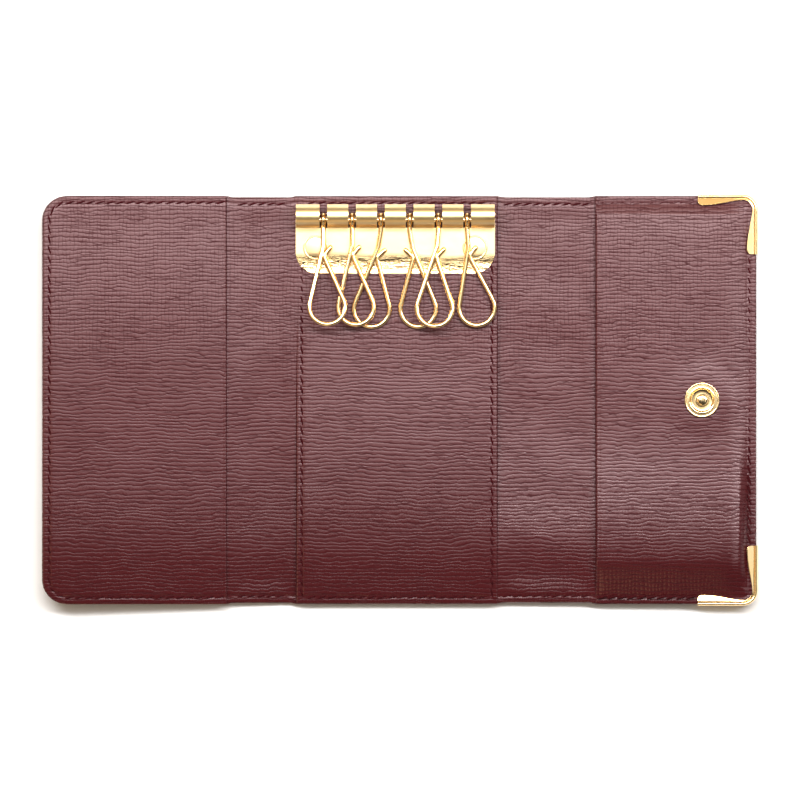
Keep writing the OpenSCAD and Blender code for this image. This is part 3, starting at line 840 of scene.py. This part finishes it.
def tube_quads(rings, sides):
    """Faces of a tube of rings of points, with both its ends closed."""
    last = (rings - 1) * sides
    quads = [(i + j, i + (j + 1) % sides, i + sides + (j + 1) % sides, i + sides + j)
             for i in range(0, last, sides) for j in range(sides)]
    return quads + [tuple(reversed(range(sides))), tuple(range(last, last + sides))]


def add_hole_shade(points, faces, slots, at, along, aside, face, width):
    """A shallow lens, painted dark as the shade where the thread goes into the leather."""
    sides, base, z = 8, len(points), face.height(*at)
    for share, up in ((0.0, 0.035), (0.75, 0.022), (1.0, 0.0), (0.0, -0.1)):
        for j in range(sides if share else 1):
            a = math.tau * j / sides
            spot = at + along * math.cos(a) * width * 0.55 * share + aside * math.sin(a) * width * 0.5 * share
            points.append((*spot, z + face.out * up * MM))
    first, second, last = base + 1, base + 1 + sides, base + 1 + 2 * sides
    for j in range(sides):
        j2 = (j + 1) % sides
        faces += [(base, first + j, first + j2), (first + j, second + j, second + j2, first + j2),
                  (second + j, last, second + j2)]
    slots += [1] * (3 * sides)


def arc(cx, cy, r, start, end):
    """Places round a bend."""
    return [(cx + r * math.cos(a), cy + r * math.sin(a)) for a in np.linspace(start, end, 12)]


class CASE_OT_stitches(bpy.types.Operator):
    """Sews the case along its edges and down the facing, on both faces."""

    bl_idname = "keycase.stitches"
    bl_label = "Stitches"

    fold_clear = {"left": 2.5 * MM, "right": 0.9 * MM}

    def rows(self, inset):
        """Body, side, rows of places and height of the leather for each sewn part."""
        y, fold_y = HALF_H - inset, FOLD_HALF_H - inset
        for side in (LEFT, RIGHT):
            r = side.corner_r - inset
            low, high = side.fold_w + CREASE_GAP + 0.5 * MM, side.far - inset
            clear = CASE_OT_corners.leg * MM
            if side is LEFT:
                rows = [[(low, y)] + arc(high - r, y - r, r, math.pi / 2, 0)
                        + arc(high - r, r - y, r, 0, -math.pi / 2) + [(low, -y)]]
            else:
                rows = [[(low, y), (side.far - clear, y)], [(high, HALF_H - clear), (high, clear - HALF_H)],
                        [(side.far - clear, -y), (low, -y)]]
            yield f"{side.name}_panel", side, rows, FACING_TOP
            clear = self.fold_clear[side.name]
            rows = [[(clear, s * fold_y), (side.fold_w - clear, s * fold_y)] for s in (1, -1)]
            yield f"{side.name}_fold", side, rows, FOLD_T
        left, right = -CENTRE_W + CREASE_GAP + 1.4 * MM, -CREASE_GAP - 1.5 * MM
        rows = [[(x, y), (x, -y)] for x in (left, right)]
        rows += [[(left + 1.2 * MM, s * y), (right - 1.2 * MM, s * y)] for s in (1, -1)]
        yield "centre_panel", RIGHT, rows, FACING_TOP

    def execute(self, context):
        inset, sunk = context.scene.case_stitches.inset, 0.10 * MM
        for body, side, rows, top in self.rows(inset):
            inner = Face(lambda x, y: top - sunk + slope(body, y), 1, side.sign)
            outer = Face(lambda x, y: 0.0, -1, -side.sign)
            points, faces, slots = [], [], []
            for face in (inner, outer):
                for row in rows:
                    p, f, s = seam_stitches(row, face)
                    faces += [tuple(len(points) + i for i in q[::face.out * side.sign]) for q in f]
                    points += p
                    slots += s
            x, y, z = np.array(points).T
            piece = new_piece(f"{body}_stitches", side.place(x, y, z), faces, "waxed_thread",
                              "needle_hole", slots=slots, flat=side.flat(x, y, z))
            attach(piece, body)
        return {"FINISHED"}


# ---- hooks ----

HOOKS = 6
HOOK_PITCH = 7.18 * MM
EYE_R = 1.22 * MM

# How far each hook sways aside, in degrees, and -1 for one that is the mirror image of the others
HOOK_SWAY = (0, 0, 9.5, -9, 5.5, -4.3)
HOOK_HAND = (1, 1, 1, -1, 1, 1)

# The wire from its eye to its tip: lengths and radii in millimetres, and bends in degrees
EYE_TURN, EYE_RUN = 280, 2.4
SWAY_R, SHANK_L = 4, 3.8
LEG_R, LEG_BEND, LEG_L = 3, 13.4, 14.2
LOOP_R, SIDE_LEAN, SIDE_L = 4.45, 24, 11.2
MOUTH_R, MOUTH_BEND, TIP_L = 1.5, 62, 2.3


def along(at, stretch, k):
    """Where a bent wire is after a share k of a stretch: x, y and heading in degrees.

    A stretch is a length with no bend, or a radius with the degrees that it bends through."""
    size, bend = stretch
    if bend == 0:
        a = math.radians(at[2])
        return at[0] + k * size * math.cos(a), at[1] + k * size * math.sin(a), at[2]
    turn = math.copysign(1, bend)
    heading, out = math.radians(at[2]), math.radians(at[2] - turn * 90 + bend * k)
    return (at[0] + size * (math.cos(out) - turn * math.sin(heading)),
            at[1] + size * (math.sin(out) + turn * math.cos(heading)), at[2] + bend * k)


def hook_path(sway):
    """Centre line of one hook in its own plane, from the end of its eye to its tip."""
    wire = [(EYE_RUN, 0)] + ([(SWAY_R, -sway)] if sway else []) + [
        (SHANK_L, 0), (LEG_R, -LEG_BEND), (LEG_L, 0), (LOOP_R, 180 + LEG_BEND + SIDE_LEAN), (SIDE_L, 0),
        (MOUTH_R, -MOUTH_BEND), (TIP_L, 0)]
    line = [(0.0, EYE_R * math.cos(a), EYE_R * math.sin(a))
            for a in np.radians(np.linspace(EYE_TURN - 90, -90, 40))]
    at = (0.0, 0.0, -90.0)
    for size, bend in wire:
        count = max(3, math.ceil(abs(bend) / 6)) if bend else max(2, math.ceil(size / 1.5))
        for k in range(1, count + 1):
            x, y, _ = along(at, (size * MM, bend), k / count)
            line.append((x, y, -EYE_R))
        at = along(at, (size * MM, bend), 1)
    return np.array(line)


def tipped(line, angle):
    """A hook's centre line, tipped about its rod."""
    x, y, z = line.T
    c, s = math.cos(angle), math.sin(angle)
    return np.stack([x, y * c + z * s, -y * s + z * c], -1)


def tube(line, radius, sides=16):
    """A round wire along a line, with both its ends rounded over."""
    ahead = np.gradient(line, axis=0)
    ahead /= np.linalg.norm(ahead, axis=1)[:, None]
    caps = [(0.0, 0.55), (0.35, 0.88), (0.8, 1.0)]
    rings = [(line[0] + ahead[0] * radius * shift, ahead[0], share) for shift, share in caps]
    rings += [(at, way, 1.0) for at, way in zip(line[1:-1], ahead[1:-1])]
    rings += [(line[-1] - ahead[-1] * radius * shift, ahead[-1], share) for shift, share in reversed(caps)]
    normal = np.array([1.0, 0.0, 0.0])
    points = []
    for at, way, share in rings:
        normal = normal - way * np.dot(normal, way)
        normal /= np.linalg.norm(normal)
        other = np.cross(way, normal)
        for j in range(sides):
            a = math.tau * j / sides
            points.append(at + radius * share * (normal * math.cos(a) + other * math.sin(a)))
    return np.array(points), tube_quads(len(rings), sides)


class CASE_OT_hooks(bpy.types.Operator):
    """Bends the six hooks from round wire."""

    bl_idname = "keycase.hooks"
    bl_label = "Hooks"

    def execute(self, context):
        radius = context.scene.case_metal.wire / 2
        low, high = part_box("hook_rod")
        for n, sway, hand in zip(range(1, HOOKS + 1), HOOK_SWAY, HOOK_HAND):
            origin = Vector(JOINTS[f"hook_{n}_swing"]["pos_m"])
            line = hook_path(hand * sway)
            line[:, 0] *= hand
            line = tipped(line, self.pitch(line, radius, origin, *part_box(f"key_hook_{n}")))
            x = (low.x + high.x) / 2 + (n - (HOOKS + 1) / 2) * HOOK_PITCH
            points, faces = tube(line + np.array([x, origin.y, origin.z]), radius)
            piece = new_piece(f"wire_hook_{n}", points, faces, "wire_gold")
            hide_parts(f"key_hook_{n}")
            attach(piece, f"hook_{n}")
        return {"FINISHED"}

    def pitch(self, line, radius, origin, low, high):
        """The angle at which the hook best fits its solid's box, from low to high."""
        def misfit(angle):
            y, z = tipped(line, angle)[:, 1:].T
            return (abs(origin.y + y.min() - radius - low.y) + abs(origin.z + z.max() + radius - high.z)
                    + abs(origin.z + z.min() - radius - low.z))
        return min(np.radians(np.arange(-4, 12, 0.01)), key=misfit)


def lathe(profile, sides=72):
    """A turned shape about z: profile is (radius, height) pairs, in millimetres, from the top of its
    axis, outwards and round to the bottom of its axis."""
    points, faces, rings = [], [], []
    for r, z in profile:
        count = sides if r else 1
        rings.append([len(points) + j % count for j in range(sides)])
        points += [(r * math.cos(math.tau * j / sides), r * math.sin(math.tau * j / sides), z)
                   for j in range(count)]
    for a, b in zip(rings, rings[1:]):
        for j in range(sides):
            k = (j + 1) % sides
            faces.append(list(dict.fromkeys((a[j], b[j], b[k], a[k]))))
    return np.array(points) * MM, faces


class CASE_OT_stud(bpy.types.Operator):
    """Turns the stud with its raised ring and dish, and the rivets of the key plate."""

    bl_idname = "keycase.stud"
    bl_label = "Stud and Rivets"

    stud = ((0, 2.2), (0.5, 2.19), (0.9, 2.14), (1.2, 2.04), (1.42, 1.88), (1.55, 1.66), (1.57, 1.5),
            (1.48, 1.3), (1.34, 1.14), (1.3, 1.0), (1.3, 0.32), (1.42, 0.27), (1.8, 0.265), (2.2, 0.27),
            (2.45, 0.29), (2.65, 0.34), (2.85, 0.43), (3.02, 0.53), (3.14, 0.58), (3.24, 0.59), (3.30, 0.555),
            (3.34, 0.552), (3.88, 0.55), (3.92, 0.50), (3.98, 0.50), (4.02, 0.53), (4.24, 0.53),
            (4.29, 0.50), (4.33, 0.36), (4.34, 0.2), (4.3, 0.05), (4.2, 0), (0.9, 0), (0.9, -0.15),
            (0, -0.15))
    rivet = ((0, 0.34), (2.3, 0.32), (2.5, 0.29), (2.6, 0.27), (2.66, 0.31), (2.74, 0.38), (2.84, 0.41),
             (2.94, 0.38), (3.04, 0.28), (3.09, 0.14), (3.1, 0), (0.75, 0), (0.75, -2.4), (0, -2.4))
    rivet_h = 0.45 * MM

    def execute(self, context):
        points, faces = lathe(self.stud)
        x, y, z = points.T
        crown_top = FACING_TOP + context.scene.case_leather.rise
        stud = new_piece("beaded_stud", RIGHT.place(x + stud_place()[0], y, z + crown_top), faces,
                         "stud_gold")
        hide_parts("snap_stud")
        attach(stud, "right_panel")

        low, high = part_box("plate_rivets")
        points, faces = lathe(self.rivet)
        radius = points[:, 0].max()
        places = [points + np.array([x, (low.y + high.y) / 2, high.z - self.rivet_h])
                  for x in (low.x + radius, high.x - radius)]
        faces = faces + [[i + len(points) for i in face] for face in faces]
        rivets = new_piece("ring_rivets", np.concatenate(places), faces, "plate_gold")
        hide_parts("plate_rivets")
        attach(rivets, "centre_panel")
        return {"FINISHED"}


class CASE_OT_corners(bpy.types.Operator):
    """Presses the two metal corners, each with a rolled rim and petal-shaped flanges."""

    bl_idname = "keycase.corners"
    bl_label = "Metal Corners"

    # In millimetres: how far the sheet runs along each edge, its bend, and its flange's depths
    leg, radius, neck, petal, end, wall = 15.0, 3.75, 1.4, 2.75, 1.1, 0.4
    rim = ((0, 1.3), (0, 2.35), (0.04, 2.68), (0.16, 2.95), (0.36, 3.13), (0.56, 3.16), (0.76, 3.06),
           (0.90, 2.90), (0.97, 2.80), (1.04, 2.82))
    rim_w, flange_in, flange_z = 1.1, 1.04, 2.84
    side_dip, end_dips = -0.2, (("upper", 1, -0.33), ("lower", -1, 0.22))

    def depth(self, x):
        """How deep the flange is at a place along a leg."""
        run, past = self.leg - self.end - self.radius, x - self.leg + self.end
        if past > 0:
            return self.petal - self.end + math.sqrt(max(self.end ** 2 - past ** 2, 0))
        share = max(x - self.radius, 0) / run
        return self.neck + (self.petal - self.neck) * math.sin(share * math.pi / 2) ** 1.5

    def section(self, depth, dip):
        """The bent sheet cut across: distance in from the edge, and height, round its outline. dip is
        how steeply its upper flange falls inwards."""
        run = depth - self.rim_w
        tip = self.flange_z - dip * run
        flange = [(self.flange_in + run * t, self.flange_z - dip * run * t)
                  for t in (0.1, 0.3, 0.6, 0.9, 1)]
        edge = [(depth - 0.03, tip - 0.02), (depth, tip - 0.06), (depth, tip - 0.3),
                (depth - 0.06, tip - 0.36)]
        back = [(1.0, 2.45), (self.wall, 2.42), (self.wall, 0), (1.0, 0), (depth - 0.05, 0),
                (depth, -0.07), (depth, -0.3), (depth - 0.08, -0.4), (0.9, -0.4), (0.4, -0.4),
                (0.12, -0.3), (0, -0.08)]
        return [*self.rim, *flange, *edge, *back]

    def stations(self):
        """(a point on the outer edge, the way in, the flange's depth, 0 to 1 for how far round the
        bend it is) all along the corner."""
        ends = self.leg - self.end + self.end * np.sin(np.linspace(math.pi / 2, 0, 9))
        legs = np.concatenate([ends, np.linspace(self.leg - self.end, self.radius, 24)[1:]])
        for x in legs:
            yield (x, 0.0), (0.0, 1.0), self.depth(x), 0.0
        for a in np.linspace(0, math.pi / 2, 14)[1:-1]:
            way = math.sin(a), math.cos(a)
            yield tuple(self.radius * (1 - w) for w in way), way, self.neck, a / (math.pi / 2)
        for x in legs[::-1]:
            yield (0.0, x), (1.0, 0.0), self.depth(x), 1.0

    def execute(self, context):
        for name, sign, dip in self.end_dips:
            points = np.array([[(at[0] + way[0] * u, at[1] + way[1] * u, z)
                                for u, z in self.section(depth, dip + (self.side_dip - dip) * turn)]
                               for at, way, depth, turn in self.stations()]) * MM
            rows, count, _ = points.shape
            index = np.arange(rows * count).reshape(rows, count)
            a, b = index[:-1], index[1:]
            quads = np.stack([a, b, np.roll(b, -1, 1), np.roll(a, -1, 1)], -1).reshape(-1, 4)
            faces = [tuple(q) for q in quads] + [tuple(index[0]), tuple(index[-1][::-1])]
            if sign < 0:
                faces = [face[::-1] for face in faces]
            x, y, z = points.reshape(-1, 3).T
            places = RIGHT.place(RIGHT.far + self.wall * MM - x, sign * (HALF_H + self.wall * MM - y), z)
            corner = new_piece(f"pressed_corner_{name}", places, faces, "corner_gold")
            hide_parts(f"corner_{name}")
            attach(corner, "right_panel")
        return {"FINISHED"}


class CASE_OT_metal(bpy.types.Operator):
    """Finishes the metal and the hidden parts that come from the frame."""

    bl_idname = "keycase.metal"
    bl_label = "Metal and Hidden Parts"

    finishes = {
        "plate_gold": ("key_plate", "plate_rivets"),
        "polished_gold": ("hook_rod", "snap_cap", "snap_socket",
                          *(f"key_hook_{n}" for n in range(1, HOOKS + 1))),
        "stud_gold": ("snap_stud",),
        "corner_gold": ("corner_upper", "corner_lower"),
        "spring_steel": ("rivet_washers", "socket_spring", "socket_post"),
        "grey_board": ("stiffener_left", "stiffener_centre", "stiffener_right"),
        "pale_foam": ("pocket_padding",),
    }

    def execute(self, context):
        chosen = {name: finish for finish, names in self.finishes.items() for name in names}
        for name, obj in frame["nodes"].items():
            finish = finish_of(chosen.get(name, "burgundy_leather"))
            if not obj.material_slots:
                obj.data.materials.append(finish)
            for slot in obj.material_slots:
                slot.material = finish
        return {"FINISHED"}


class CASE_OT_stage(bpy.types.Operator):
    """Sets the table, the softbox, the room's light and the camera."""

    bl_idname = "keycase.stage"
    bl_label = "Stage"

    def execute(self, context):
        look = context.scene.case_stage
        half, top = 3.0, -0.1 * MM
        corners = [(-half, -half, top), (half, -half, top), (half, half, top), (-half, half, top)]
        table = new_piece("table", corners, [(0, 1, 2, 3)], "pale_table")

        # Each light's height, where it runs from and to in x and in y, its radiance and its turn
        up, turn, fill = 0.5, -8, look.fill
        self.area("softbox", up, (-0.6, 0.6), (0.165, 0.285), look.key, turn)
        self.area("softbox_far", up, (-0.7, 0.7), (0.285, 0.75), fill, turn, look.gilded)
        self.area("overhead", up, (-0.16, 0.16), (-0.01, 0.14), fill * 0.9, turn)
        self.area("plate_card", 0.45, (-0.06, 0.06), (0.012, 0.08), fill * 3.0)
        self.area("front", up, (-0.35, 0.04), (-1.1, -0.36), fill * 1.1, colour=look.gilded)
        self.area("left", up, (-0.85, -0.22), (-0.3, 0.16), fill * 1.3, colour=look.gilded)
        self.area("right", up, (0.24, 0.42), (-0.16, 0.12), fill * 1.2)
        context.scene.world = self.room(look)
        context.scene.view_settings.view_transform = "Standard"

        data = bpy.data.cameras.new("camera")
        data.sensor_width = 36
        data.lens = data.sensor_width * look.height / look.view
        data.clip_start, data.clip_end = 0.01, 20
        camera = bpy.data.objects.new("camera", data)
        camera.location = (0, 0, look.height + FOLD_T)
        context.scene.collection.objects.link(camera)
        context.scene.camera = camera
        return {"FINISHED"}

    def room(self, look):
        """A room with a dark ceiling and pale walls."""
        f = Finish("room", "worlds")
        up = f.axis(f.node("TexCoord", {}, {}), 2)
        light = f.node("MapRange", {"interpolation_type": "SMOOTHSTEP"},
                       {"Value": up, "From Min": 0.55, "From Max": 0.1, "To Min": look.room,
                        "To Max": look.walls})
        return f.done(f.node("Background", {}, {"Color": (1, 1, 1, 1), "Strength": light}), "OutputWorld")

    def area(self, name, height, across, along, radiance, turn=0, colour=(1, 1, 1)):
        """A softbox that looks straight down. It spans across in x and along in y, before it is
        turned round the middle of the case by some degrees."""
        light = bpy.data.lights.new(name, "AREA")
        light.shape = "RECTANGLE"
        light.color = colour
        light.size, light.size_y = across[1] - across[0], along[1] - along[0]
        light.energy = radiance * math.pi * light.size * light.size_y
        obj = bpy.data.objects.new(name, light)
        middle = Vector(((across[0] + across[1]) / 2, (along[0] + along[1]) / 2, height))
        obj.rotation_euler.z = math.radians(turn)
        obj.location = Matrix.Rotation(math.radians(turn), 3, "Z") @ middle
        obj.visible_camera = False
        bpy.context.scene.collection.objects.link(obj)


OPERATORS = (CASE_OT_stage, CASE_OT_skins, CASE_OT_pockets, CASE_OT_padding, CASE_OT_stitches,
             CASE_OT_hooks, CASE_OT_stud, CASE_OT_corners, CASE_OT_metal)


class CASE_PT_pieces(bpy.types.Panel):
    """Lists the pieces of the key case in the order they are made."""

    bl_idname = "CASE_PT_pieces"
    bl_label = "Key Case"
    bl_space_type = "VIEW_3D"
    bl_region_type = "UI"
    bl_category = "Key Case"

    def draw(self, context):
        for operator in OPERATORS:
            self.layout.operator(operator.bl_idname)
        for name, group in SETTINGS.items():
            box = self.layout.box()
            for prop in group.__annotations__:
                box.prop(getattr(context.scene, name), prop)


def register():
    for cls in (*SETTINGS.values(), *OPERATORS, CASE_PT_pieces):
        bpy.utils.register_class(cls)
    for name, group in SETTINGS.items():
        setattr(bpy.types.Scene, name, bpy.props.PointerProperty(type=group))


def unregister():
    for name in SETTINGS:
        delattr(bpy.types.Scene, name)
    for cls in reversed((*SETTINGS.values(), *OPERATORS, CASE_PT_pieces)):
        bpy.utils.unregister_class(cls)


def main():
    register()
    for operator in OPERATORS:
        group, name = operator.bl_idname.split(".")
        getattr(getattr(bpy.ops, group), name)()


if __name__ == "__main__":
    main()
